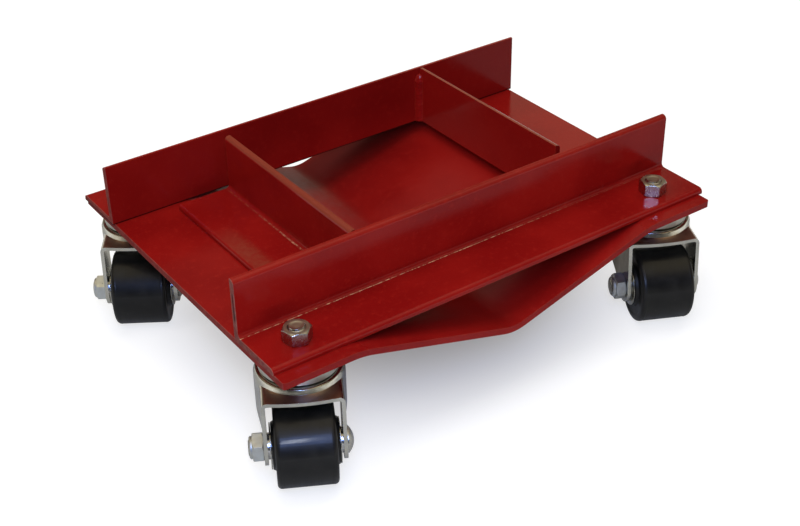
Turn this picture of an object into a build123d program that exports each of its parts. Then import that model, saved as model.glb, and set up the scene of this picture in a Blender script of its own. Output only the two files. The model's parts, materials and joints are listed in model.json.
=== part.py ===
from build123d import *
import math
import os

# Trailer jack dolly. Millimetres, +Z up, +X along the length, +Y to the back.
# The origin lies on the floor under the middle of the base plate.

# Base plate: both ends flat, a shallow V between them
deck_z = 91.0
plate_length = 396.0
plate_width = 304.8
plate_t = 5.5
plate_flat = 63.5
trough_depth = 38.1
end_bend_r = 60.0
trough_bend_r = 30.0
plate_corner_r = 2.5

# Angle stock, 2 x 2 x 3/16 in
angle_leg = 50.8
angle_t = 4.76
angle_fillet_r = 3.2
angle_toe_r = 3.4
angle_heel_r = 0.8
long_length = 400.0
front_setback = 11.5
front_shift = 1.2
rear_setback = 2.9
cross_length = 177.8
cross_gap = 1.2
pocket_half = 96.5

# Weld beads in the two closed corners of the pocket
bead_leg = 5.2
bead_bulge = 3.2
bead_height = 44.0
bead_foot = 1.0

# Caster places, measured in from the edges of the plate, with the drilled pattern a little off centre,
# and how far each caster is turned
stem_inset = 31.8
stem_shift = -0.7
caster_turns = {
    "front_left": -28.4,
    "front_right": -26.2,
    "rear_left": -32.8,
    "rear_right": -31.0,
}

# Stems and their nuts
stem_r = 6.35
stem_tip = 1.3
stem_chamfer = 1.0
rivet_r = 11.0
rivet_face_r = 7.7
rivet_h = 4.0
rivet_edge = 1.6
nut_flats = 19.05
nut_height = 10.5
nut_face_inset = 0.3
nut_chamfer_angle = 30.0
nut_turns = {
    "front_left": 41.0,
    "front_right": 14.0,
    "rear_left": 30.0,
    "rear_right": 52.0,
}

# Clearances: seats within one body, drilled holes, and gaps between turning pieces
seat_gap = 0.05
hole_gap = 0.4
race_gap = 0.4
ball_play = 0.3
run_gap = 0.05
washer_gap = 0.3

# Swivel race: cap under the plate, balls, boss of the fork, lower race
cap_r = 28.8
cap_bottom_z = 77.4
cap_edge = 0.5
cap_land_r = 23.0
cap_land_drop = 1.0
ball_r = 2.8
ball_count = 8
ball_circle_r = 21.0
ball_z = 77.2
boss_top_z = 76.5
boss_top_r = 27.6
boss_brow_r = 30.6
boss_brow_drop = 1.0
boss_brow_round = 0.9
boss_base_r = 31.9
boss_pocket_r = 26.0
boss_pocket_z = 71.2
lower_race_r = 20.0
lower_race_t = 3.2
lower_race_edge = 1.0

# Fork, pressed from one sheet
crown_z = 72.1
fork_sheet = 2.7
fork_bend_r = 4.0
fork_race_r = 32.0
fork_half = 28.6
fork_waist_r = 26.0
fork_front = 38.2
fork_front_bow = 2.2
fork_lip = 11.7
fork_shoulder_y = -7.3
fork_shoulder_z = 40.3
fork_sweep_r = 14.0
axle_eye_r = 13.2

# Axle, from the domed head on the right to the lock nut on the left
trail = 31.0
axle_z = 30.0
axle_r = 6.35
axle_head_r = 9.7
axle_head_h = 5.0
axle_chamfer = 0.8
axle_tip = 0.6
lock_hex = 7.9
lock_collar = 2.2
lock_collar_r = 8.0
lock_collar_edge = 0.9
lock_turns = {
    "front_left": 53.0,
    "front_right": 44.0,
    "rear_left": 56.0,
    "rear_right": 38.0,
}
sleeve_r = 9.3
washer_r = 16.2
washer_t = 0.8

# Wheel
wheel_r = 30.0
wheel_width = 42.4
tread_width = 36.4
hub_r = 16.6
hub_proud = 2.0
hub_draft = 0.8
web_outer_r = 24.0
web_depth = 0.6
rim_draft = 0.6

# Room that cutting tools take past a face
past = 1.0

half_l = plate_length / 2
half_w = plate_width / 2
plate_low = deck_z - plate_t
leg_inside = fork_half - fork_sheet
crown_low = crown_z - fork_sheet
flange_top = deck_z + angle_t
front_face_y = -half_w + front_setback + angle_leg
rear_face_y = half_w - rear_setback - angle_leg
race_top = boss_pocket_z - race_gap
race_low = race_top - lower_race_t
stem_x = half_l - stem_inset
stem_y = half_w - stem_inset
stem_places = {
    "front_left": (stem_shift - stem_x, -stem_y),
    "front_right": (stem_shift + stem_x, -stem_y),
    "rear_left": (stem_shift - stem_x, stem_y),
    "rear_right": (stem_shift + stem_x, stem_y),
}

os.makedirs("parts", exist_ok=True)


def save(name, pieces):
    # One file for each node; a group of like pieces stays a set of separate solids
    solids = [solid for piece in pieces for solid in piece.solids()]
    shape = solids[0] if len(solids) == 1 else Compound(children=solids)
    export_step(shape, f"parts/{name}.step")


def outline(points):
    return make_face(Polyline(*points, close=True))


def round_corners(sketch, spots):
    # Rounds the corner of a flat outline nearest to each spot
    for (x, y), radius in spots:
        corner = min(sketch.vertices(), key=lambda v: (v.X - x) ** 2 + (v.Y - y) ** 2)
        sketch = fillet(corner, radius)
    return sketch


def upright(radius, z_low, z_high, x=0.0, y=0.0):
    return Pos(x, y, (z_low + z_high) / 2) * Cylinder(radius, z_high - z_low)


def along_axle(radius, x_low, x_high):
    return Pos((x_low + x_high) / 2, -trail, axle_z) * Rot(0, 90, 0) * Cylinder(radius, x_high - x_low)


def turned(points):
    # Lathe-turned solid about Z from points given as (radius, height)
    return revolve(Plane.XZ * outline(points), Axis.Z)


def hex_nut(height, bore_r):
    # Hex prism with both faces chamfered and a plain bore
    corner_r = nut_flats / math.sqrt(3)
    face_r = nut_flats / 2 - nut_face_inset
    drop = (corner_r - face_r) * math.tan(math.radians(nut_chamfer_angle))
    blank = turned([
        (0, 0), (face_r, 0), (corner_r, drop), (corner_r, height - drop), (face_r, height), (0, height),
    ])
    prism = extrude(RegularPolygon(corner_r, 6), height)
    return (prism & blank) - upright(bore_r, -past, height + past)


def base_plate():
    bend = half_l - plate_flat
    slope = math.atan2(trough_depth, bend)
    bend_low = bend - plate_t * math.tan(slope / 2)
    trough_top = deck_z - trough_depth
    trough_low = trough_top - plate_t / math.cos(slope)
    section = outline([
        (-half_l, deck_z), (-bend, deck_z), (0, trough_top), (bend, deck_z), (half_l, deck_z),
        (half_l, plate_low), (bend_low, plate_low), (0, trough_low), (-bend_low, plate_low),
        (-half_l, plate_low),
    ])
    section = round_corners(section, [
        ((-bend, deck_z), end_bend_r + plate_t), ((bend, deck_z), end_bend_r + plate_t),
        ((-bend_low, plate_low), end_bend_r), ((bend_low, plate_low), end_bend_r),
        ((0, trough_top), trough_bend_r), ((0, trough_low), trough_bend_r + plate_t),
    ])
    plate = extrude(Plane.XZ * section, half_w, both=True)
    plate = fillet(plate.edges().filter_by(Axis.Z), plate_corner_r)
    for x, y in stem_places.values():
        plate -= upright(stem_r + hole_gap, plate_low - past, deck_z + past, x, y)
    return plate


def angle_bar(length):
    # Heel on the Z axis, flange toward -X, upright leg toward +Z, run along +Y
    section = outline([
        (0, 0), (0, angle_leg), (-angle_t, angle_leg), (-angle_t, angle_t), (-angle_leg, angle_t),
        (-angle_leg, 0),
    ])
    section = round_corners(section, [
        ((-angle_t, angle_t), angle_fillet_r), ((-angle_t, angle_leg), angle_toe_r),
        ((-angle_leg, angle_t), angle_toe_r), ((0, 0), angle_heel_r),
    ])
    return extrude(Plane.XZ * section, -length)


def long_angle(face_y, turn, shift):
    bar = Pos(shift, face_y, deck_z) * Rot(0, 0, turn) * Pos(0, -long_length / 2, 0) * angle_bar(long_length)
    for x, y in stem_places.values():
        bar -= upright(stem_r + hole_gap, deck_z - past, flange_top + past, x, y)
    return bar


def weld_bead(x, y, turn):
    # Convex fillet bead standing in the corner between two upright faces
    crest = ThreePointArc((bead_leg, 0), (bead_bulge, bead_bulge), (0, bead_leg))
    section = make_face([Line((0, 0), (bead_leg, 0)), crest, Line((0, bead_leg), (0, 0))])
    return Pos(x, y, deck_z + bead_foot) * Rot(0, 0, turn) * extrude(section, bead_height)


def stem():
    # Threaded stud with a riveted head that holds the lower race up
    top = flange_top + nut_height + stem_tip
    head_low = race_low - rivet_h
    return turned([
        (0, head_low), (rivet_face_r, head_low), (rivet_r, head_low + rivet_edge), (rivet_r, race_low),
        (stem_r, race_low), (stem_r, top - stem_chamfer), (stem_r - stem_chamfer, top), (0, top),
    ])


def race_cap():
    # Disc clamped under the plate, with a V groove below for the balls
    bore_r = stem_r + seat_gap
    groove_z = ball_z + (ball_r + ball_play) * math.sqrt(2)
    groove_half = groove_z - cap_bottom_z
    return turned([
        (bore_r, cap_bottom_z), (ball_circle_r - groove_half, cap_bottom_z), (ball_circle_r, groove_z),
        (ball_circle_r + groove_half, cap_bottom_z), (cap_r - cap_edge, cap_bottom_z),
        (cap_r, cap_bottom_z + cap_edge), (cap_r, plate_low - cap_land_drop), (cap_land_r, plate_low),
        (bore_r, plate_low),
    ])


def ball_ring():
    ball = Pos(ball_circle_r, 0, ball_z) * Sphere(ball_r)
    return [Rot(0, 0, k * 360 / ball_count) * ball for k in range(ball_count)]


def lower_race():
    bore_r = stem_r + seat_gap
    return turned([
        (bore_r, race_low), (lower_race_r - lower_race_edge, race_low),
        (lower_race_r, race_low + lower_race_edge), (lower_race_r, race_top), (bore_r, race_top),
    ])


def fork_plan(inset):
    # Round under the race, straight along the legs, with a soft waist where they meet
    run = 2 * fork_front
    plan = Circle(fork_race_r) + Pos(0, -run / 2) * Rectangle(2 * fork_half, run)
    waist_y = -math.sqrt(fork_race_r ** 2 - fork_half ** 2)
    plan = round_corners(plan, [((-fork_half, waist_y), fork_waist_r), ((fork_half, waist_y), fork_waist_r)])
    return offset(plan, -inset) if inset else plan


def eye_tangent(point, side):
    # Place where a line from a point touches the round end of the leg
    dy = point[0] + trail
    dz = point[1] - axle_z
    angle = math.atan2(dz, dy) + side * math.acos(axle_eye_r / math.hypot(dy, dz))
    return (-trail + axle_eye_r * math.cos(angle), axle_z + axle_eye_r * math.sin(angle))


def fork_side():
    # Leg seen along the axle: slanted front edge, round eye, back edge swept up to the lip
    back_y = fork_race_r + past
    lip_z = crown_z - fork_lip
    front = (-fork_front, crown_z)
    lip = (fork_race_r - fork_bend_r, lip_z)
    shoulder = (fork_shoulder_y, fork_shoulder_z)
    eye_front = eye_tangent(front, 1)
    eye_back = eye_tangent(shoulder, -1)
    corners = [eye_front, front, (back_y, crown_z), (back_y, lip_z), lip, shoulder, eye_back]
    edges = [Line(*pair) for pair in zip(corners, corners[1:])]
    edges.append(ThreePointArc(eye_back, (-trail, axle_z - axle_eye_r), eye_front))
    face = round_corners(make_face(edges), [(shoulder, fork_sweep_r), (lip, fork_sweep_r)])
    return extrude(Plane.YZ * face, fork_race_r + past, both=True)


def fork_boss():
    # Pressed boss: steep wall, tight brow, V groove on top for the balls, pocket below for the lower race
    bore_r = stem_r + hole_gap
    groove_z = ball_z - (ball_r + seat_gap) * math.sqrt(2)
    groove_half = boss_top_z - groove_z
    brow = (boss_brow_r, boss_top_z - boss_brow_drop)
    profile = outline([
        (bore_r, boss_pocket_z), (boss_pocket_r, boss_pocket_z), (boss_pocket_r, crown_low),
        (boss_base_r, crown_low), (boss_base_r, crown_z), brow, (boss_top_r, boss_top_z),
        (ball_circle_r + groove_half, boss_top_z), (ball_circle_r, groove_z),
        (ball_circle_r - groove_half, boss_top_z), (bore_r, boss_top_z),
    ])
    return revolve(Plane.XZ * round_corners(profile, [(brow, boss_brow_round)]), Axis.Z)


def fork():
    low = axle_z - axle_eye_r - past
    outer = Pos(0, 0, low) * extrude(fork_plan(0), crown_z - low)
    outer = fillet(outer.edges().group_by(Axis.Z)[-1], fork_bend_r)
    inner = Pos(0, 0, low - past) * extrude(fork_plan(fork_sheet), crown_low - low + past)
    inner = fillet(inner.edges().group_by(Axis.Z)[-1], fork_bend_r - fork_sheet)
    shell = (outer - inner) & fork_side()
    crown_half = fork_half - fork_bend_r
    bow_y = -fork_front - fork_front_bow
    bow = make_face([
        Line((-crown_half, -fork_front), (crown_half, -fork_front)),
        ThreePointArc((crown_half, -fork_front), (0, bow_y), (-crown_half, -fork_front)),
    ])
    shell += Pos(0, 0, crown_low) * extrude(bow, fork_sheet)
    shell -= upright(boss_pocket_r, crown_low - past, crown_z + past)
    shell += fork_boss()
    return shell - along_axle(axle_r + seat_gap, -fork_race_r - past, fork_race_r + past)


def axle_bolt():
    # Low domed head at the right end, plain shank, chamfered tip at the left end
    tip = -fork_half - lock_hex - lock_collar - axle_tip
    top = fork_half + axle_head_h
    dome_r = (axle_head_r ** 2 + axle_head_h ** 2) / (2 * axle_head_h)
    dome_half = math.asin(axle_head_r / dome_r) / 2
    crest = (dome_r * math.sin(dome_half), top - dome_r * (1 - math.cos(dome_half)))
    corners = [
        (axle_head_r, fork_half), (axle_r, fork_half), (axle_r, tip + axle_chamfer),
        (axle_r - axle_chamfer, tip), (0, tip), (0, top),
    ]
    edges = [Line(*pair) for pair in zip(corners, corners[1:])]
    edges.append(ThreePointArc((0, top), crest, (axle_head_r, fork_half)))
    bolt = revolve(Plane.XZ * make_face(edges), Axis.Z)
    return Pos(0, -trail, axle_z) * Rot(0, 90, 0) * bolt


def axle_nut(turn):
    # Lock nut: hex with a turned collar on its outer end
    bore_r = axle_r + seat_gap
    top = lock_hex + lock_collar
    collar = turned([
        (bore_r, lock_hex / 2), (lock_collar_r, lock_hex / 2), (lock_collar_r, top - lock_collar_edge),
        (lock_collar_r - lock_collar_edge, top), (bore_r, top),
    ])
    nut = hex_nut(lock_hex, bore_r) + collar
    return Pos(-fork_half, -trail, axle_z) * Rot(turn, 0, 0) * Rot(0, -90, 0) * nut


def axle_sleeve():
    end = leg_inside - seat_gap
    return along_axle(sleeve_r, -end, end) - along_axle(axle_r + seat_gap, -end - past, end + past)


def thrust_washers():
    start = wheel_width / 2 + hub_proud + washer_gap
    ring = along_axle(washer_r, start, start + washer_t)
    ring -= along_axle(sleeve_r + seat_gap, start - past, start + washer_t + past)
    return [ring, mirror(ring, Plane.YZ)]


def wheel():
    half = wheel_width / 2
    shoulder = half - tread_width / 2
    round_in = shoulder * (1 - math.sqrt(0.5))
    side = [
        (sleeve_r + run_gap, half + hub_proud), (hub_r, half + hub_proud),
        (hub_r + hub_draft, half - web_depth), (web_outer_r, half - web_depth),
        (web_outer_r + rim_draft, half), (wheel_r - shoulder, half),
        (wheel_r - round_in, half - round_in), (wheel_r, half - shoulder),
    ]
    body = turned(side + [(r, -h) for r, h in reversed(side)])
    return Pos(0, -trail, axle_z) * Rot(0, 90, 0) * body


save("base_plate", [base_plate()])
save("front_angle", [long_angle(front_face_y, 90, front_shift)])
save("rear_angle", [long_angle(rear_face_y, -90, 0)])
save("left_cross_angle", [Pos(-pocket_half, front_face_y + cross_gap, deck_z) * angle_bar(cross_length)])
save("right_cross_angle", [
    Pos(pocket_half, rear_face_y - cross_gap, deck_z) * Rot(0, 0, 180) * angle_bar(cross_length)
])
save("left_weld_bead", [weld_bead(-pocket_half, front_face_y, 0)])
save("right_weld_bead", [weld_bead(pocket_half, rear_face_y, 180)])
stem_nut = hex_nut(nut_height, stem_r + seat_gap)
save("stem_nuts", [
    Pos(x, y, flange_top) * Rot(0, 0, nut_turns[place]) * stem_nut for place, (x, y) in stem_places.items()
])

caster_pieces = {
    "stem": [stem()],
    "race_cap": [race_cap()],
    "lower_race": [lower_race()],
    "balls": ball_ring(),
    "fork": [fork()],
    "axle_bolt": [axle_bolt()],
    "axle_sleeve": [axle_sleeve()],
    "thrust_washers": thrust_washers(),
    "wheel": [wheel()],
}
for place, (x, y) in stem_places.items():
    spot = Pos(x, y, 0) * Rot(0, 0, caster_turns[place])
    for piece, shapes in caster_pieces.items():
        save(f"{place}_{piece}", [spot * shape for shape in shapes])
    save(f"{place}_axle_nut", [spot * axle_nut(lock_turns[place])])
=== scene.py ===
import json
import math

import bmesh
import bpy
from mathutils import Matrix, Quaternion, Vector


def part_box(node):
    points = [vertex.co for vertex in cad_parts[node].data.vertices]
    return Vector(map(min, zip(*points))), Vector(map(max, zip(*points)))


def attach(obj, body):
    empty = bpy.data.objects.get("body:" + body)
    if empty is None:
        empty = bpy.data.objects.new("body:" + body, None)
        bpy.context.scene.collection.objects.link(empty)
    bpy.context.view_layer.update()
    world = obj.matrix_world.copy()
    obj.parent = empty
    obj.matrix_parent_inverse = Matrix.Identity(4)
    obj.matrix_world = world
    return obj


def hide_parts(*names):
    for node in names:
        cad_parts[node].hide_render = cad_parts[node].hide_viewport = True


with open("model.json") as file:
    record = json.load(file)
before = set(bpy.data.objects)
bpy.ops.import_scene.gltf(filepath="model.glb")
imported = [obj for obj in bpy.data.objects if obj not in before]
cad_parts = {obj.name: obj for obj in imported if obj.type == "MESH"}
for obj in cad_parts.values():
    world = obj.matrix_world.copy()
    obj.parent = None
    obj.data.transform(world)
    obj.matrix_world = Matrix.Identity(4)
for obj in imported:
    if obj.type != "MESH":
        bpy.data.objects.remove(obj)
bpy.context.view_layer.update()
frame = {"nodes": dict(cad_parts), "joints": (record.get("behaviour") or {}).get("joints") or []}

nodes = frame["nodes"]
places = ["front_left", "front_right", "rear_left", "rear_right"]
rollJoints = {joint["child"]: joint for joint in frame["joints"] if joint["name"].endswith("_wheel_roll")}


# small tools for node trees
def addNode(tree, kind, **settings):
    made = tree.nodes.new(kind)
    for key, value in settings.items():
        setattr(made, key, value)
    return made


def feed(tree, socket, source):  # source is another node's output or a plain value
    if isinstance(source, bpy.types.NodeSocket):
        tree.links.new(source, socket)
    else:
        socket.default_value = source


def newFinish(name, metal=0.0, gloss=0.5):
    finish = bpy.data.materials.new(name)
    finish.use_nodes = True
    tree = finish.node_tree
    tree.nodes.clear()
    shader = addNode(tree, "ShaderNodeBsdfPrincipled")
    shader.inputs["Metallic"].default_value = metal
    shader.inputs["Specular IOR Level"].default_value = gloss
    out = addNode(tree, "ShaderNodeOutputMaterial")
    tree.links.new(shader.outputs["BSDF"], out.inputs["Surface"])
    return finish, tree, shader


def ownPlace(tree):  # the object's own coordinates, in metres
    return addNode(tree, "ShaderNodeTexCoord").outputs["Object"]


def axisOf(tree, where, axis):
    split = addNode(tree, "ShaderNodeSeparateXYZ")
    feed(tree, split.inputs["Vector"], where)
    return split.outputs[axis]


def stretched(tree, where, scale):
    mapping = addNode(tree, "ShaderNodeMapping")
    mapping.inputs["Scale"].default_value = scale
    feed(tree, mapping.inputs["Vector"], where)
    return mapping.outputs["Vector"]


def cloudy(tree, where, scale, detail, rough, twist=0.0):
    noise = addNode(tree, "ShaderNodeTexNoise")
    feed(tree, noise.inputs["Vector"], where)
    noise.inputs["Scale"].default_value = scale
    noise.inputs["Detail"].default_value = detail
    noise.inputs["Roughness"].default_value = rough
    noise.inputs["Distortion"].default_value = twist
    return noise.outputs["Fac"]


def ramp(tree, value, low, high, start=0.0, end=1.0):  # eases from start at low to end at high
    span = addNode(tree, "ShaderNodeMapRange", interpolation_type="SMOOTHSTEP")
    feed(tree, span.inputs["Value"], value)
    for name, number in (("From Min", low), ("From Max", high), ("To Min", start), ("To Max", end)):
        span.inputs[name].default_value = number
    return span.outputs["Result"]


def calc(tree, operation, first, second=0.0):
    sums = addNode(tree, "ShaderNodeMath", operation=operation)
    feed(tree, sums.inputs[0], first)
    feed(tree, sums.inputs[1], second)
    return sums.outputs["Value"]


def times(tree, first, second):
    return calc(tree, "MULTIPLY", first, second)


def awayFrom(tree, where, axis, place):  # distance from a plane across one axis
    return calc(tree, "ABSOLUTE", calc(tree, "SUBTRACT", axisOf(tree, where, axis), place))


def tint(tree, amount, first, second):
    mix = addNode(tree, "ShaderNodeMix", data_type="RGBA")
    feed(tree, mix.inputs["Factor"], amount)
    for socket, color in ((mix.inputs[6], first), (mix.inputs[7], second)):  # the colour sockets A and B
        feed(tree, socket, color if isinstance(color, bpy.types.NodeSocket) else (*color, 1.0))
    return mix.outputs[2]


def relief(tree, height, depth, under=None):  # depth in metres
    bump = addNode(tree, "ShaderNodeBump")
    bump.inputs["Strength"].default_value = 1.0
    bump.inputs["Distance"].default_value = depth
    feed(tree, bump.inputs["Height"], height)
    if under:
        feed(tree, bump.inputs["Normal"], under)
    return bump.outputs["Normal"]


def roundedEdgeMask(tree, reach, low, high):  # 0 on flat ground, 1 on corners
    rounded = addNode(tree, "ShaderNodeBevel", samples=6)
    rounded.inputs["Radius"].default_value = reach
    ground = addNode(tree, "ShaderNodeNewGeometry")
    dot = addNode(tree, "ShaderNodeVectorMath", operation="DOT_PRODUCT")
    feed(tree, dot.inputs[0], rounded.outputs["Normal"])
    feed(tree, dot.inputs[1], ground.outputs["Normal"])
    return ramp(tree, dot.outputs["Value"], high, low)


def facingUp(tree, low, high):  # 1 on faces that look up
    ground = addNode(tree, "ShaderNodeNewGeometry")
    return ramp(tree, axisOf(tree, ground.outputs["Normal"], "Z"), low, high)


# In the finishes a cloud is (scale, detail, roughness, twist), and a share or span is what ramp takes.

# painted highlight: bright gold dashes along the root of an angle, where the rounded root catches the light
rootGlintLook = {
    "gold": (0.780, 0.440, 0.220),
    "proud": 0.0002,
    "core": 0.35,  # share of the line's half width that is full
    "beads": (330.0, 3.0, 0.7),
    "glintShare": (0.42, 0.60, 0.05, 1.0),
    "breaks": (95.0, 2.0, 0.5),
    "breakShare": (0.30, 0.54, 0.50, 1.0),
    "faded": 0.12,
}


def paintedRootGlint(tree, where, line):
    look = rootGlintLook
    across = awayFrom(tree, where, line["across"], line["place"])
    up = awayFrom(tree, where, "Z", line["height"])
    near = ramp(tree, calc(tree, "MAXIMUM", across, up), line["half"], line["half"] * look["core"])
    # the painted highlight breaks into short dashes and longer gaps
    beads = ramp(tree, cloudy(tree, where, *look["beads"]), *look["glintShare"])
    breaks = ramp(tree, cloudy(tree, where, *look["breaks"]), *look["breakShare"])
    strength, along = line["strength"], axisOf(tree, where, line["along"])
    fades = ramp(tree, along, *line["fades"], strength, strength * look["faded"])
    return times(tree, times(tree, near, fades), times(tree, beads, breaks))


# sawn ends: paint thin and rubbed, with a dark line along the middle of some ends, pale along the rim
sawnLook = {
    "tan": (0.270, 0.090, 0.066),
    "brown": (0.190, 0.056, 0.042),
    "dark": (0.022, 0.008, 0.007),
    "rim": (0.380, 0.220, 0.165),
    "rimShare": 0.9,
    "reach": (0.0006, 0.0002),  # metres in from the end
    "stretch": (60.0, 75.0, 75.0),
    "sawMarks": (1.0, 3.0, 0.6, 0.6),
    "brownShare": (0.44, 0.56),
    "chips": (330.0, 3.0, 0.6),
    "chipSpan": (0.40, 0.58),
    "leastChips": 0.65,
    "dull": 0.60,
}


def darkMidLine(tree, where, streak):
    height = axisOf(tree, where, "Z")
    ends = times(tree, ramp(tree, height, *streak["lower"]), ramp(tree, height, *streak["upper"]))
    offLine = awayFrom(tree, where, "Y", streak["place"])
    return times(tree, ramp(tree, offLine, streak["half"], streak["core"]), ends)


def sawnEnd(tree, where, onEdges, sawn):  # where the end is, how bare it is and its bare colour
    look = sawnLook
    start, full = look["reach"]
    onEnd = ramp(tree, axisOf(tree, where, "X"), sawn["end"] + start, sawn["end"] + full)
    marks = cloudy(tree, stretched(tree, where, look["stretch"]), *look["sawMarks"])
    bare = tint(tree, ramp(tree, marks, *look["brownShare"]), look["tan"], look["brown"])
    if "streak" in sawn:
        bare = tint(tree, darkMidLine(tree, where, sawn["streak"]), bare, look["dark"])
    bare = tint(tree, times(tree, onEdges, look["rimShare"]), bare, look["rim"])
    chips = cloudy(tree, where, *look["chips"])
    share = ramp(tree, chips, *look["chipSpan"], look["leastChips"] * sawn["share"], sawn["share"])
    return onEnd, times(tree, onEnd, share), bare


# a painted warm sheen on flanges, a painted warm highlight with dust on upper toes, and a painted dark
# contact shadow where an angle stands on the plate
dustSheenShadeLook = {
    # warm colour of the painted sheen and highlight, with dust on the toes
    "dust": (0.230, 0.045, 0.020),
    "flatSpan": (0.80, 0.95),
    "flangeShare": (0.30, 0.65, 0.25, 0.55),
    "toeReach": (0.0036, 0.0010),  # metres below the top
    "toeSpan": (0.15, 0.60),
    "contactShade": (0.040, 0.004, 0.003),
    "contactShadeReach": (0.0016, 0.0008),  # metres above the plate
}


def flangeSheen(tree, where, mottle, sheenPatch):
    look = dustSheenShadeLook
    across = ramp(tree, axisOf(tree, where, "X"), *sheenPatch["across"])
    along = ramp(tree, axisOf(tree, where, "Y"), *sheenPatch["along"])
    spread = times(tree, times(tree, across, facingUp(tree, *look["flatSpan"])), along)
    return times(tree, spread, ramp(tree, mottle, *look["flangeShare"]))


def toeDustAndSheen(tree, where, toe):
    start, full = dustSheenShadeLook["toeReach"]
    upper = ramp(tree, axisOf(tree, where, "Z"), toe["top"] - start, toe["top"] - full, 0.0, toe["share"])
    return times(tree, upper, facingUp(tree, *dustSheenShadeLook["toeSpan"]))


def rubbedDull(tree, where, rubbed):  # dull in the V where the jack stands, duller in its hidden corners
    aside = calc(tree, "ABSOLUTE", axisOf(tree, where, "X"))
    behind = ramp(tree, axisOf(tree, where, "Y"), *rubbed["behind"], 0.0, rubbed["dusty"])
    dusty = times(tree, behind, ramp(tree, aside, *rubbed["beside"]))
    return times(tree, ramp(tree, aside, *rubbed["within"]), calc(tree, "ADD", dusty, rubbed["dull"]))


def contactShadeLine(tree, where, height):
    start, full = dustSheenShadeLook["contactShadeReach"]
    return ramp(tree, axisOf(tree, where, "Z"), height + start, height + full)


# red enamel over mill-finish steel
enamelLook = {
    "red": (0.285, 0.0075, 0.0050),
    "deepRed": (0.225, 0.0045, 0.0035),
    "warmRed": (0.320, 0.0130, 0.0070),
    "edgeRed": (0.370, 0.0500, 0.0190),
    "dust": (0.330, 0.095, 0.065),
    "gloss": 0.20,
    "roughness": (0.10, 0.22),
    "dullSpan": (0.30, 0.75),
    "patches": (14.0, 2.0, 0.5),
    "deepShare": (0.32, 0.68),
    "mottle": (210.0, 4.0, 0.6),
    "warmShare": (0.50, 0.78, 0.0, 0.55),
    "streakStretch": (22.0, 420.0, 420.0),
    "streaks": (1.0, 3.0, 0.6),
    "streakShare": (0.58, 0.80, 0.0, 0.35),
    "streakDepth": 0.000032,
    "specks": (1300.0, 2.0, 0.5),
    "speckShare": (0.66, 0.80, 0.0, 0.30),
    "edges": (0.0011, 0.45, 0.97),
    "edgeShare": (0.30, 0.62, 0.35, 0.95),
    "peel": (900.0, 2.0, 0.5),
    "peelDepth": 0.00004,
}


def redEnamel(name, sawn=None, rubbed=None, sheenPatch=None, toe=None, contactShade=None, root=None):
    look = enamelLook
    finish, tree, shader = newFinish(name, gloss=look["gloss"])
    where = ownPlace(tree)
    patches = cloudy(tree, where, *look["patches"])
    mottle = cloudy(tree, where, *look["mottle"])
    streaks = cloudy(tree, stretched(tree, where, look["streakStretch"]), *look["streaks"])
    specks = cloudy(tree, where, *look["specks"])
    onEdges = roundedEdgeMask(tree, *look["edges"])
    color = tint(tree, ramp(tree, patches, *look["deepShare"]), look["red"], look["deepRed"])
    color = tint(tree, ramp(tree, mottle, *look["warmShare"]), color, look["warmRed"])
    color = tint(tree, ramp(tree, streaks, *look["streakShare"]), color, look["deepRed"])
    color = tint(tree, ramp(tree, specks, *look["speckShare"]), color, look["dust"])
    # lighter red on the edges: paint thin there, and a painted highlight
    color = tint(tree, times(tree, onEdges, ramp(tree, mottle, *look["edgeShare"])), color, look["edgeRed"])
    rough = ramp(tree, mottle, *look["dullSpan"], *look["roughness"])
    normal = relief(tree, cloudy(tree, where, *look["peel"]), look["peelDepth"])
    normal = relief(tree, streaks, look["streakDepth"], normal)
    if sawn:
        onEnd, share, bare = sawnEnd(tree, where, onEdges, sawn)
        color = tint(tree, share, color, bare)
        rough = calc(tree, "ADD", rough, times(tree, onEnd, sawnLook["dull"]))
    if rubbed:
        rough = calc(tree, "ADD", rough, rubbedDull(tree, where, rubbed))
    if sheenPatch:
        # a painted warm sheen on part of a flange
        color = tint(tree, flangeSheen(tree, where, mottle, sheenPatch), color, dustSheenShadeLook["dust"])
    if toe:
        # a painted warm highlight with dust along the upper toe of the angles
        color = tint(tree, toeDustAndSheen(tree, where, toe), color, dustSheenShadeLook["dust"])
    if contactShade:
        # a painted contact shadow along the foot of the angle, where it stands on the plate
        color = tint(tree, contactShadeLine(tree, where, contactShade), color, dustSheenShadeLook["contactShade"])
    if root:
        # a painted highlight in gold along the root, with a slight bump
        gold = paintedRootGlint(tree, where, root)
        color = tint(tree, gold, color, rootGlintLook["gold"])
        normal = relief(tree, gold, rootGlintLook["proud"], normal)
    feed(tree, shader.inputs["Base Color"], color)
    feed(tree, shader.inputs["Roughness"], rough)
    feed(tree, shader.inputs["Normal"], normal)
    return finish


# bright zinc on pressed and turned steel
zincLook = {
    "zinc": (0.60, 0.590, 0.520),
    "nutZinc": (0.42, 0.400, 0.370),
    "lockZinc": (0.70, 0.730, 0.700),
    "shadeZinc": (0.47, 0.465, 0.410),
    "stain": (0.55, 0.475, 0.340),
    "edgeZinc": (0.92, 0.92, 0.85),
    "pit": (0.10, 0.09, 0.07),
    "cloud": (45.0, 3.0, 0.6, 0.4),
    "shadeShare": (0.35, 0.70),
    "spangle": (160.0, 4.0, 0.65),
    "stainSpan": (0.52, 0.75),
    "dullSpan": (0.30, 0.75),
    "spangleDepth": 0.00006,
    "grain": (1500.0, 3.0, 0.6),
    "grainDepth": 0.00002,
    "edges": (0.0006, 0.50, 0.97),
    "edgeShare": (0.3, 0.6, 0.3, 0.9),
    "pits": (420.0, 1.0, 0.4),
    "pitShare": (0.77, 0.81, 0.0, 0.8),
    "topSpan": (0.75, 0.95),
    "ledgeSpan": (0.80, 0.95),
    "paintedReflectionShare": (0.30, 0.70, 1.0, 0.75),
}


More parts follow.
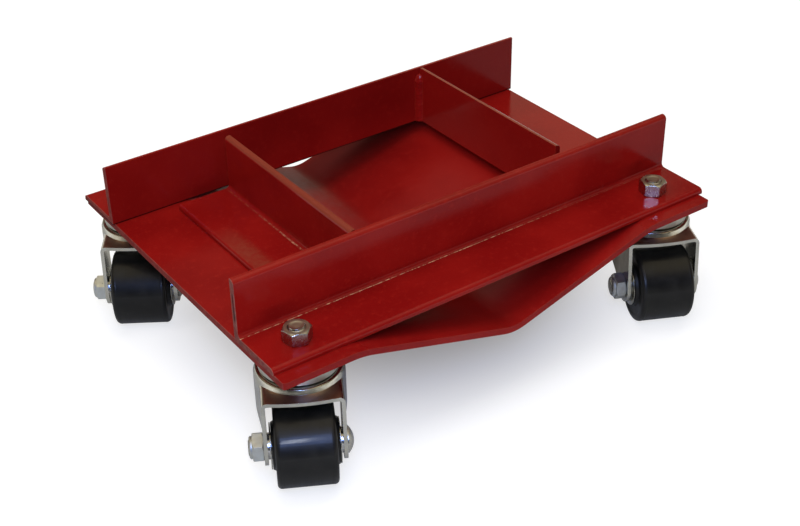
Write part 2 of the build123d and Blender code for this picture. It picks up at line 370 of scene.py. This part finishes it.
def zincPlate(name, roughness, grain=1.0, base="zinc", stained=0.5, dullTop=0.0, paintedReflection=None):
    look = zincLook
    finish, tree, shader = newFinish(name, metal=1.0)
    where = ownPlace(tree)
    cloud = cloudy(tree, where, *look["cloud"])
    spangle = cloudy(tree, where, *look["spangle"])
    fine = cloudy(tree, where, *look["grain"])
    onEdges = roundedEdgeMask(tree, *look["edges"])
    color = tint(tree, ramp(tree, cloud, *look["shadeShare"]), look[base], look["shadeZinc"])
    color = tint(tree, ramp(tree, spangle, *look["stainSpan"], 0.0, stained), color, look["stain"])
    # near-white on the edges: a painted highlight
    color = tint(tree, times(tree, onEdges, ramp(tree, fine, *look["edgeShare"])), color, look["edgeZinc"])
    pits = ramp(tree, cloudy(tree, where, *look["pits"]), *look["pitShare"])
    color = tint(tree, pits, color, look["pit"])
    rough = ramp(tree, spangle, *look["dullSpan"], *roughness)
    if dullTop:
        rough = calc(tree, "ADD", rough, times(tree, facingUp(tree, *look["topSpan"]), dullTop))
    if paintedReflection:  # a painted reddish reflection on a ledge that faces up
        level = ramp(tree, axisOf(tree, where, "Z"), *paintedReflection["height"])
        ledge = times(tree, facingUp(tree, *look["ledgeSpan"]), level)
        color = tint(tree, times(tree, ledge, ramp(tree, cloud, *look["paintedReflectionShare"])), color, paintedReflection["color"])
        rough = calc(tree, "ADD", rough, times(tree, ledge, paintedReflection["dull"]))
    normal = relief(tree, fine, look["grainDepth"] * grain)
    feed(tree, shader.inputs["Base Color"], color)
    feed(tree, shader.inputs["Roughness"], rough)
    feed(tree, shader.inputs["Normal"], relief(tree, spangle, look["spangleDepth"] * grain, normal))
    return finish


# ground steel of the balls and axle sleeves
groundLook = {
    "steel": (0.60, 0.61, 0.62),
    "oiled": (0.40, 0.38, 0.34),
    "smear": (120.0, 3.0, 0.6),
    "oilShare": (0.4, 0.7),
    "rings": (900.0, 3.0, 0.6),
    "ringRoughness": (0.3, 0.7, 0.14, 0.30),
    "ringDepth": 0.00001,
}


def groundSteel(name):
    look = groundLook
    finish, tree, shader = newFinish(name, metal=1.0)
    where = ownPlace(tree)
    rings = cloudy(tree, where, *look["rings"])
    smear = ramp(tree, cloudy(tree, where, *look["smear"]), *look["oilShare"])
    feed(tree, shader.inputs["Base Color"], tint(tree, smear, look["steel"], look["oiled"]))
    feed(tree, shader.inputs["Roughness"], ramp(tree, rings, *look["ringRoughness"]))
    feed(tree, shader.inputs["Normal"], relief(tree, rings, look["ringDepth"]))
    return finish


# hard black wheel
tyreLook = {
    "black": (0.0046, 0.0043, 0.0036),
    "greyBlack": (0.0088, 0.0082, 0.0064),
    "scuff": (0.0300, 0.0280, 0.0220),
    "gloss": 0.27,
    "coat": 0.10,
    "coatRoughness": 0.08,
    "roughness": (0.35, 0.46),
    "dullSpan": (0.30, 0.75),
    "cloud": (70.0, 3.0, 0.6),
    "greyShare": (0.35, 0.70),
    "nicks": (260.0, 4.0, 0.7, 0.5),
    "nickShare": (0.66, 0.76, 0.0, 0.6),
    "grain": (1100.0, 3.0, 0.6),
    "grainDepth": 0.00003,
    "latheStretch": (30.0, 30.0, 900.0),
    "lathe": (1.0, 2.0, 0.6),
    "latheDull": (0.4, 0.8, 0.0, 0.08),
    "latheDepth": 0.00002,
}


def blackTyre(name):
    look = tyreLook
    finish, tree, shader = newFinish(name, gloss=look["gloss"])
    shader.inputs["Coat Weight"].default_value = look["coat"]
    shader.inputs["Coat Roughness"].default_value = look["coatRoughness"]
    where = ownPlace(tree)
    cloud = cloudy(tree, where, *look["cloud"])
    lathe = cloudy(tree, stretched(tree, where, look["latheStretch"]), *look["lathe"])
    nicks = cloudy(tree, where, *look["nicks"])
    color = tint(tree, ramp(tree, cloud, *look["greyShare"]), look["black"], look["greyBlack"])
    color = tint(tree, ramp(tree, nicks, *look["nickShare"]), color, look["scuff"])
    rough = ramp(tree, cloud, *look["dullSpan"], *look["roughness"])
    rough = calc(tree, "ADD", rough, ramp(tree, lathe, *look["latheDull"]))
    normal = relief(tree, cloudy(tree, where, *look["grain"]), look["grainDepth"])
    feed(tree, shader.inputs["Base Color"], color)
    feed(tree, shader.inputs["Roughness"], rough)
    feed(tree, shader.inputs["Normal"], relief(tree, lathe, look["latheDepth"], normal))
    return finish


def paint(name, finish):
    nodes[name].material_slots[0].material = finish


# small rounds on the hard corners of the CAD pieces, by modifiers alone, in metres
softLook = {
    "frame": 0.0006,
    "stemNuts": 0.0004,
    "caster": {"race_cap": 0.0003, "fork": 0.0003, "axle_nut": 0.0003, "thrust_washers": 0.0002},
    "joinWithin": 0.000004,
    "turns": 2,
    "sharperThan": 30.0,  # degrees
    "flatWeight": 100,
}


def smoothGroup():  # sets every face smooth without touching the CAD mesh
    group = bpy.data.node_groups.new("smoothFaces", "GeometryNodeTree")
    group.interface.new_socket("Geometry", in_out="INPUT", socket_type="NodeSocketGeometry")
    group.interface.new_socket("Geometry", in_out="OUTPUT", socket_type="NodeSocketGeometry")
    start = group.nodes.new("NodeGroupInput")
    smooth = group.nodes.new("GeometryNodeSetShadeSmooth")
    end = group.nodes.new("NodeGroupOutput")
    group.links.new(start.outputs[0], smooth.inputs["Geometry"])
    group.links.new(smooth.outputs["Geometry"], end.inputs[0])
    return group


smoothFaces = smoothGroup()


def softenEdges(name, width):
    look, piece = softLook, nodes[name]
    weld = piece.modifiers.new("joinSeams", "WELD")
    weld.merge_threshold = look["joinWithin"]
    piece.modifiers.new("smoothFaces", "NODES").node_group = smoothFaces
    bevel = piece.modifiers.new("softEdges", "BEVEL")
    bevel.width = width
    bevel.segments = look["turns"]
    bevel.limit_method = "ANGLE"
    bevel.angle_limit = math.radians(look["sharperThan"])
    bevel.use_clamp_overlap = True
    even = piece.modifiers.new("evenNormals", "WEIGHTED_NORMAL")
    even.weight = look["flatWeight"]
    even.keep_sharp = False


# what wear and painted light each painted piece has, in metres
angleSheet = 0.00476
angleRoot = 0.0032
glintIn = 0.92  # where the line of the painted highlight runs in the root's round, in shares of its radius
glintUp = 0.04
streakIn = 0.55  # share of the sheet's thickness
frontLow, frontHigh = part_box("front_angle")
leftLow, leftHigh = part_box("left_cross_angle")
deckTop = frontLow.z
rootIn = angleSheet + angleRoot * glintIn
rootUp = deckTop + angleSheet + angleRoot * glintUp
frameWearAndLight = {
    "base_plate": {
        "sawn": {"end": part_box("base_plate")[0].x, "share": 0.45},
        "rubbed": {
            "within": (0.1345, 0.1280), "dull": 0.18,
            "beside": (0.098, 0.104), "behind": (0.0985, 0.1025), "dusty": 0.42,
        },
    },
    "front_angle": {
        "sawn": {
            "end": frontLow.x, "share": 1.0,
            "streak": {
                "place": frontHigh.y - angleSheet * streakIn, "half": 0.0012, "core": 0.0006,
                "lower": (0.105, 0.110), "upper": (0.133, 0.127),
            },
        },
        "root": {
            "across": "Y", "place": frontHigh.y - rootIn, "height": rootUp, "half": 0.0005,
            "along": "X", "fades": (0.00, 0.13), "strength": 1.0,
        },
        "toe": {"top": leftHigh.z, "share": 0.12},
    },
    "rear_angle": {"sawn": {"end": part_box("rear_angle")[0].x, "share": 0.6}, "contactShade": deckTop},
    "left_cross_angle": {
        "root": {
            "across": "X", "place": leftHigh.x - rootIn, "height": rootUp, "half": 0.0010,
            "along": "Y", "fades": (-0.04, 0.05), "strength": 0.6,
        },
        "sheenPatch": {
            "across": (leftLow.x + 0.021, leftLow.x + 0.011),
            "along": (leftLow.y + 0.132, leftLow.y + 0.085),
        },
        "toe": {"top": leftHigh.z, "share": 0.8},
    },
    "right_cross_angle": {"toe": {"top": leftHigh.z, "share": 0.8}},
}
enamels = {}
for name, wearAndLight in frameWearAndLight.items():
    enamels[name] = redEnamel(name + "_enamel", **wearAndLight)
    paint(name, enamels[name])
    softenEdges(name, softLook["frame"])

# the zinc finishes, and which finish each caster piece takes
crownRedReflection = {"height": (0.0742, 0.0734), "color": (0.40, 0.235, 0.190), "dull": 0.14}  # round the ball race: a painted reflection of the red plate's underside
zincFinishes = {
    "pressedZinc": {"roughness": (0.14, 0.24), "grain": 0.5, "stained": 0.25, "paintedReflection": crownRedReflection},
    "capZinc": {"roughness": (0.34, 0.48)},
    "turnedZinc": {"roughness": (0.22, 0.38)},
    "stemZinc": {"roughness": (0.22, 0.34), "base": "nutZinc", "dullTop": 0.14},
    "stemNutZinc": {
        "roughness": (0.21, 0.32), "grain": 0.8, "base": "nutZinc", "stained": 0.35, "dullTop": 0.17,
    },
    "lockNutZinc": {"roughness": (0.44, 0.58), "grain": 0.8, "base": "lockZinc", "stained": 0.15},
}
finishes = {name: zincPlate(name, **settings) for name, settings in zincFinishes.items()}
finishes["groundSteel"] = groundSteel("groundSteel")
finishes["tyreBlack"] = blackTyre("tyreBlack")
casterFinish = {
    "stem": "stemZinc",
    "race_cap": "capZinc",
    "lower_race": "turnedZinc",
    "balls": "groundSteel",
    "fork": "pressedZinc",
    "axle_bolt": "turnedZinc",
    "axle_nut": "lockNutZinc",
    "axle_sleeve": "groundSteel",
    "thrust_washers": "turnedZinc",
    "wheel": "tyreBlack",
}
for place in places:
    for piece, finish in casterFinish.items():
        paint(f"{place}_{piece}", finishes[finish])
    for piece, width in softLook["caster"].items():
        softenEdges(f"{place}_{piece}", width)
paint("stem_nuts", finishes["stemNutZinc"])
softenEdges("stem_nuts", softLook["stemNuts"])
print("finishes set on", len(nodes), "nodes")


# tools for turned and moulded meshes
def arc(center, radius, start, end, count):  # points of a round, angles in degrees
    turns = [math.radians(start + (end - start) * k / count) for k in range(count + 1)]
    return [(center[0] + radius * math.cos(t), center[1] + radius * math.sin(t)) for t in turns]


def keepMesh(name, shape, sharpAngle):
    bmesh.ops.recalc_face_normals(shape, faces=shape.faces)
    mesh = bpy.data.meshes.new(name)
    shape.to_mesh(mesh)
    shape.free()
    mesh.shade_smooth()
    mesh.set_sharp_from_angle(angle=math.radians(sharpAngle))
    return mesh


def ringMesh(name, loop, steps):  # closed loop of (radius, height) swept round Z
    shape = bmesh.new()
    rings = []
    for k in range(steps):
        turn = 2 * math.pi * k / steps
        rings.append([shape.verts.new((r * math.cos(turn), r * math.sin(turn), h)) for r, h in loop])
    for k in range(steps):
        here, there = rings[k], rings[(k + 1) % steps]
        for i in range(len(loop)):
            j = (i + 1) % len(loop)
            shape.faces.new((here[i], there[i], there[j], here[j]))
    return keepMesh(name, shape, sharpAngle=35)


# form of a rolled thread: the steepness of its flanks, and the part of them that the flat crest takes off
threadLook = {"steep": 1.3, "crest": 0.15}


def threadCut(turn, height, pitch):  # 0 on the flat crest of a right-hand thread, 1 in its flat root
    along = (height / pitch - turn / (2 * math.pi)) % 1.0
    return min(1.0, max(0.0, threadLook["steep"] * abs(2 * along - 1) - threadLook["crest"]))


def studMesh(name, outline, look):
    # outline is (radius, height, share of the thread's depth) from the lower end to the upper one
    pitch, depth, steps = look["pitch"], look["depth"], look["steps"]
    turns = [2 * math.pi * k / steps for k in range(steps)]
    shape = bmesh.new()
    rings = []
    for radius, height, share in outline:
        ring = []
        for turn in turns:
            reach = radius - share * depth * threadCut(turn, height, pitch)
            ring.append(shape.verts.new((reach * math.cos(turn), reach * math.sin(turn), height)))
        rings.append(ring)
    for here, there in zip(rings, rings[1:]):
        for k in range(steps):
            j = (k + 1) % steps
            shape.faces.new((here[k], here[j], there[j], there[k]))
    for ring, (radius, height, share) in ((rings[0], outline[0]), (rings[-1], outline[-1])):
        middle = shape.verts.new((0.0, 0.0, height))
        for k in range(steps):
            shape.faces.new((ring[k], ring[(k + 1) % steps], middle))
    return keepMesh(name, shape, sharpAngle=40)


def seat(name, mesh, matrix, finish, body, node):  # one dressed piece in the place of a CAD node
    piece = bpy.data.objects.new(name, mesh)
    bpy.context.scene.collection.objects.link(piece)
    piece.matrix_world = matrix
    mesh.materials.append(finish)
    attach(piece, body)
    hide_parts(node)


def alongAxle(place):  # row frame of one axle, Z along it towards the domed head
    joint = rollJoints[f"{place}_roller"]
    turn = Vector(joint["axis"]).to_track_quat("Z", "Y")
    return Matrix.Translation(joint["pos_m"]) @ turn.to_matrix().to_4x4()


# wheels with moulded edges, in metres from the middle of the axle
wheelLook = {
    "radius": 0.0300, "width": 0.0424, "tread": 0.0364, "bore": 0.00935, "lip": 0.0004, "corner": 0.0006,
    "hub": 0.0166, "hubProud": 0.0020,
    "webIn": 0.0174, "webOut": 0.0240, "webDepth": 0.0006, "rimIn": 0.0246,
    "ridge": 0.00010, "ridgeFoot": -0.00005, "ridgeTop": (0.0002, 0.0004), "ridgeEnd": 0.0007,
    "treadFrom": 0.0010,  # a loop here keeps the tread's shading flat to its ends
    "steps": 160,
}


def wheelLoop():
    look = wheelLook
    half, tread, r = look["width"] / 2, look["tread"] / 2, look["radius"]
    lip, corner, shoulder = look["lip"], look["corner"], half - tread
    hubFace, webFace = half + look["hubProud"], half - look["webDepth"]
    side = [(look["bore"], hubFace - lip), (look["bore"] + lip, hubFace)]
    side += arc((look["hub"] - corner, hubFace - corner), corner, 90, 0, 4)
    side += arc((look["webIn"] + corner, webFace + corner), corner, 180, 270, 4)
    side += [(look["webOut"], webFace)]
    side += arc((look["rimIn"] + corner, half - corner), corner, 150, 90, 3)
    side += arc((r - shoulder, tread), shoulder, 90, 8, 8)
    side += [(r, tread - look["ridgeFoot"])]
    side += [(r + look["ridge"], tread - inward) for inward in look["ridgeTop"]]
    side += [(r, tread - look["ridgeEnd"]), (r, tread - look["treadFrom"])]
    return side + [(radius, -height) for radius, height in reversed(side)]


wheelMesh = ringMesh("wheelMesh", wheelLoop(), wheelLook["steps"])
for place in places:
    seat(f"{place}_wheel_moulded", wheelMesh.copy(), alongAxle(place), finishes["tyreBlack"],
         f"{place}_roller", f"{place}_wheel")
print("four moulded wheels made")

# threaded stems: riveted head below, rolled thread and a flat end with a narrow chamfer above the nut
stemLook = {
    "radius": 0.00635, "pitch": 0.00195, "depth": 0.0011, "threaded": 0.0075, "runIn": 6,
    "tip": 0.0011, "rim": 0.0011, "tipBreak": 0.0002, "tipThread": 0.2,
    "land": 0.0005, "dishEdge": 0.0009, "dish": 0.0002,
    "rivet": 0.0110, "rivetFace": 0.0077, "rivetHeight": 0.0040, "rivetEdge": 0.0016, "rivetTurn": 0.7,
    "middle": 0.4, "rows": 40, "steps": 96,
}


def stemOutline(low, high):
    look = stemLook
    r, rivet, edge, face = look["radius"], look["rivet"], look["rivetEdge"], look["rivetFace"]
    outline = [(face * look["middle"], low, 0), (face, low, 0)]
    turned = edge * look["rivetTurn"]
    outline += [(rivet - edge + turned, low + turned, 0), (rivet, low + edge, 0)]
    outline += [(rivet, low + look["rivetHeight"], 0), (r, low + look["rivetHeight"], 0)]
    start = high - look["threaded"]
    for k in range(look["rows"] + 1):
        height = start + (high - look["tip"] - start) * k / look["rows"]
        outline.append((r, height, min(1.0, k / look["runIn"])))
    end = r - look["rim"]  # the flat end, inside its chamfer
    outline += [(end + look["tipBreak"], high - look["tipBreak"], look["tipThread"])]
    outline += [(end, high, 0), (end - look["land"], high, 0)]
    bottom = high - look["dish"]
    return outline + [(end - look["dishEdge"], bottom, 0), (r * look["middle"], bottom, 0)]


for place in places:
    low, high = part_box(f"{place}_stem")
    middle = (low + high) / 2
    mesh = studMesh("stemMesh", stemOutline(low.z - middle.z, high.z - middle.z), stemLook)
    seat(f"{place}_stem_threaded", mesh, Matrix.Translation(middle), finishes["stemZinc"],
         "dolly_frame", f"{place}_stem")
print("four threaded stems made")

# axle bolts: thread at the lock nut, plain shank, domed head with a small rim
axleLook = {
    "radius": 0.00635, "pitch": 0.00195, "depth": 0.0011, "tipAt": -0.0393, "threaded": 0.0120, "runIn": 6,
    "tip": 0.0009, "tipFace": 0.0012, "tipBreak": 0.0005, "tipBreakAt": 0.4, "tipThread": 0.4, "middle": 0.5,
    "legFace": 0.0286, "head": 0.0097, "headHeight": 0.0050, "headBreak": 0.0003, "rim": 0.0010,
    "rows": 48, "domeRows": 9, "steps": 96,
}


def axleOutline():
    look = axleLook
    r, head, start, corner = look["radius"], look["head"], look["tipAt"], look["headBreak"]
    outline = [(r * look["middle"], start, 0), (r - look["tipFace"], start, 0)]
    outline += [(r - look["tipBreak"], start + look["tip"] * look["tipBreakAt"], look["tipThread"])]
    for k in range(look["rows"] + 1):
        height = start + look["tip"] + look["threaded"] * k / look["rows"]
        outline.append((r, height, min(1.0, (look["rows"] - k) / look["runIn"])))
    face, top = look["legFace"], look["legFace"] + look["headHeight"]
    outline += [(r, face, 0), (head - corner, face, 0)]
    outline += [(head, face + corner, 0), (head, face + look["rim"], 0)]
    rise = top - face - look["rim"]
    dome = (head ** 2 + rise ** 2) / (2 * rise)
    for k in range(1, look["domeRows"]):
        radius = head * math.cos(math.radians(90 * k / look["domeRows"]))
        outline.append((radius, top - dome + math.sqrt(dome ** 2 - radius ** 2), 0))
    return outline


axleMesh = studMesh("axleMesh", axleOutline(), axleLook)
for place in places:
    seat(f"{place}_axle_bolt_threaded", axleMesh.copy(), alongAxle(place), finishes["turnedZinc"],
         f"{place}_swivel", f"{place}_axle_bolt")
print("four axle bolts made")

# weld beads in the closed corners of the pocket, with shallow ripples
beadLook = {
    "leg": 0.0050, "bulge": 0.0010, "hollow": 0.30, "least": 0.0012, "buried": 0.0003,
    "ripple": 0.0036, "scallop": 0.00018, "rounding": 0.6, "toeRipple": 0.35, "lag": 0.45,
    "wander": 0.0002, "wanderPace": (410, 173),
    "startRun": 0.0060, "startThin": 0.30, "startPast": 0.0002,  # the run starts thin at the top
    "rings": 110, "across": 14,
}


def beadReach(z, across, height, phase):  # from the corner to the bead's face; across is 1 on the crest
    look = beadLook
    lag = look["lag"] * look["ripple"] * across  # ripples bow along the run
    wave = 0.5 + 0.5 * math.cos(2 * math.pi * (z + lag) / look["ripple"] + phase)
    first, second = look["wanderPace"]
    drift = look["wander"] * math.sin(z * first + phase) * math.cos(z * second + 2 * phase)
    reach = look["leg"] * (1 - look["hollow"] * across) + look["bulge"] * across + drift
    depth = look["toeRipple"] + (1 - look["toeRipple"]) * across
    reach -= look["scallop"] * (1 - wave ** look["rounding"]) * depth
    ease = math.sqrt(min(1.0, (height - z + look["startPast"]) / look["startRun"]))
    return max(reach * (look["startThin"] + (1 - look["startThin"]) * ease), look["least"])


def beadMesh(name, height, phase):
    look = beadLook
    shape = bmesh.new()
    rows = []
    for k in range(look["rings"] + 1):
        z = height * k / look["rings"]
        row = []
        for i in range(look["across"] + 1):
            turn = math.pi / 2 * i / look["across"]
            reach = beadReach(z, math.sin(2 * turn), height, phase)
            row.append(shape.verts.new((reach * math.cos(turn), reach * math.sin(turn), z)))
        row.append(shape.verts.new((-look["buried"], -look["buried"], z)))
        rows.append(row)
    count = len(rows[0])
    for here, there in zip(rows, rows[1:]):
        for i in range(count):
            j = (i + 1) % count
            shape.faces.new((here[i], here[j], there[j], there[i]))
    shape.faces.new(list(reversed(rows[0])))
    shape.faces.new(rows[-1])
    return keepMesh(name, shape, sharpAngle=50)


for name, turn, phase in (("left_weld_bead", 0.0, 0.4), ("right_weld_bead", math.pi, 1.7)):
    low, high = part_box(name)
    corner = low if turn == 0.0 else Vector((high.x, high.y, low.z))
    matrix = Matrix.Translation(corner) @ Matrix.Rotation(turn, 4, "Z")
    mesh = beadMesh(name + "Mesh", high.z - low.z, phase)
    seat(f"{name}_rippled", mesh, matrix, enamels["right_cross_angle"], "dolly_frame", name)
print("two rippled weld beads made")

# floor that is white to the camera, with its glow turned down under the dolly as a painted shadow and dim to
# metal near the dolly as a painted darker reflection, and keeps the shadow
floorLook = {
    "half": 12.0, "paint": (0.435, 0.420, 0.380), "roughness": 0.9,
    "underTo": (0.06, 0.22), "clearAt": (0.40, 1.0),  # metres from the middle
    "cameraGlow": (0.26, 0.72), "metalGlow": (0.04, 0.11),  # under the dolly, and near it
}


def seenRays(tree):  # rays from the camera, and rays off gloss or through glass
    path = addNode(tree, "ShaderNodeLightPath")
    bounced = calc(tree, "MAXIMUM", path.outputs["Is Glossy Ray"], path.outputs["Is Transmission Ray"])
    return path.outputs["Is Camera Ray"], bounced


def makeFloor():
    look = floorLook
    shape = bmesh.new()
    bmesh.ops.create_grid(shape, x_segments=1, y_segments=1, size=look["half"])
    mesh = keepMesh("floor", shape, sharpAngle=30)
    floor = bpy.data.objects.new("floor", mesh)
    bpy.context.scene.collection.objects.link(floor)
    finish, tree, shader = newFinish("floorPaint", gloss=0.0)
    shader.inputs["Base Color"].default_value = (*look["paint"], 1.0)
    shader.inputs["Roughness"].default_value = look["roughness"]
    away = addNode(tree, "ShaderNodeVectorMath", operation="LENGTH")
    feed(tree, away.inputs[0], ownPlace(tree))

    def glow(under, near):  # glow dimmed under the dolly as painted shade, white far from it
        first = ramp(tree, away.outputs["Value"], *look["underTo"], under, near)
        return calc(tree, "ADD", first, ramp(tree, away.outputs["Value"], *look["clearAt"], 0.0, 1.0 - near))

    camera, mirrored = seenRays(tree)
    seen = times(tree, camera, glow(*look["cameraGlow"]))
    shown = times(tree, mirrored, glow(*look["metalGlow"]))
    shader.inputs["Emission Color"].default_value = (1.0, 1.0, 1.0, 1.0)
    feed(tree, shader.inputs["Emission Strength"], calc(tree, "ADD", seen, shown))
    mesh.materials.append(finish)


# pale walls all round with a dim warm ceiling, and a darker room on the camera's side
worldLook = {
    "ambient": 0.04, "ambientColor": (1.0, 0.97, 0.93), "wall": (1.0, 0.92, 0.77),
    "ceiling": (0.150, 0.110, 0.080), "ceilingFrom": (0.0, 0.30),
    "zenith": (1.05, 0.90, 0.60), "zenithFrom": (0.66, 0.90),
    "front": (-0.56, -0.83, 0.0), "frontFrom": (0.35, 0.92), "frontShade": 0.14,
}


def makeWorld():
    look = worldLook
    world = bpy.data.worlds.new("studio")
    bpy.context.scene.world = world
    world.use_nodes = True
    tree = world.node_tree
    tree.nodes.clear()
    camera, mirrored = seenRays(tree)
    toward = addNode(tree, "ShaderNodeTexCoord").outputs["Generated"]
    up = axisOf(tree, toward, "Z")
    walls = tint(tree, ramp(tree, up, *look["ceilingFrom"]), look["wall"], look["ceiling"])
    walls = tint(tree, ramp(tree, up, *look["zenithFrom"]), walls, look["zenith"])
    facing = addNode(tree, "ShaderNodeVectorMath", operation="DOT_PRODUCT")
    feed(tree, facing.inputs[0], toward)
    facing.inputs[1].default_value = look["front"]
    shade = ramp(tree, facing.outputs["Value"], *look["frontFrom"], 1.0, look["frontShade"])
    back = addNode(tree, "ShaderNodeBackground")
    feed(tree, back.inputs["Color"], tint(tree, camera, walls, (1.0, 1.0, 1.0)))
    feed(tree, back.inputs["Strength"], calc(tree, "MAXIMUM", camera, shade))
    air = addNode(tree, "ShaderNodeBackground")
    air.inputs["Color"].default_value = (*look["ambientColor"], 1.0)
    air.inputs["Strength"].default_value = look["ambient"]
    pick = addNode(tree, "ShaderNodeMixShader")
    feed(tree, pick.inputs[0], calc(tree, "MAXIMUM", camera, mirrored))
    tree.links.new(air.outputs["Background"], pick.inputs[1])
    tree.links.new(back.outputs["Background"], pick.inputs[2])
    out = addNode(tree, "ShaderNodeOutputWorld")
    tree.links.new(pick.outputs["Shader"], out.inputs["Surface"])


# places and sizes in metres, power in watts; the fills are white and don't mirror in metal or paint
lampAim = Vector((0.0, 0.0, 0.08))
mirroredLamps = {
    "keyPanel": {
        "place": (-0.502, -0.760, 0.735), "size": (0.30, 0.40), "power": 4.6, "color": (0.24, 0.40, 1.0),
    },
    "flash": {
        "place": (-0.509, -0.756, 0.735), "size": (0.030, 0.160), "power": 1.0, "color": (0.88, 0.93, 1.0),
    },
    "sidePanel": {
        "place": (0.95, 0.96, 0.66), "size": (0.55, 0.45), "power": 0.4, "color": (1.0, 0.80, 0.56),
    },
}
fillLamps = {
    "overFill": {"place": (-0.10, -0.02, 1.40), "size": (0.90, 0.60), "power": 5.6},
    "frontFill": {"place": (-0.50, -0.60, 1.10), "size": (0.50, 0.40), "power": 3.0},
    "lowFront": {"place": (-0.10, -0.70, 0.06), "size": (1.00, 0.10), "power": 1.4},
    "rightFill": {"place": (0.90, 0.0, 1.10), "size": (0.50, 0.80), "power": 3.0},
    "backFill": {"place": (0.0, 0.90, 1.10), "size": (0.90, 0.50), "power": 3.4},
    "leftFill": {"place": (-0.90, 0.0, 1.10), "size": (0.50, 0.80), "power": 2.6},
    "lowLeft": {"place": (-1.30, 0.0, 0.35), "size": (0.50, 1.40), "power": 1.3},
}


def makeLamp(name, look, mirrored):
    lamp = bpy.data.lights.new(name, "AREA")
    lamp.shape = "RECTANGLE"
    lamp.size, lamp.size_y = look["size"]
    lamp.energy = look["power"]
    lamp.color = look.get("color", (1.0, 1.0, 1.0))
    holder = bpy.data.objects.new(name, lamp)
    holder.location = look["place"]
    holder.rotation_euler = (lampAim - holder.location).to_track_quat("-Z", "Y").to_euler()
    holder.visible_glossy = mirrored
    bpy.context.scene.collection.objects.link(holder)


makeFloor()
makeWorld()
for lamps, mirrored in ((mirroredLamps, True), (fillLamps, False)):
    for name, look in lamps.items():
        makeLamp(name, look, mirrored)
print("floor, world and", len(mirroredLamps) + len(fillLamps), "lamps placed")

# camera at the photograph's place; roll in degrees, lens and sensor in millimetres
cameraLook = {
    "place": (-0.54493, -0.78671, 0.65287), "aim": (-0.0595, -0.0905, 0.1), "roll": -1.045,
    "lens": 62.276, "sensor": 36.0, "nearest": 0.01,
}
camera = bpy.data.cameras.new("viewCamera")
camera.sensor_width = cameraLook["sensor"]
camera.lens = cameraLook["lens"]
camera.clip_start = cameraLook["nearest"]
viewer = bpy.data.objects.new("viewCamera", camera)
viewer.location = cameraLook["place"]
facing = (Vector(cameraLook["aim"]) - viewer.location).to_track_quat("-Z", "Y")
viewer.rotation_mode = "QUATERNION"
viewer.rotation_quaternion = facing @ Quaternion((0, 0, 1), math.radians(cameraLook["roll"]))
bpy.context.scene.collection.objects.link(viewer)
bpy.context.scene.camera = viewer
bpy.context.scene.view_settings.view_transform = "Standard"
print("camera placed")
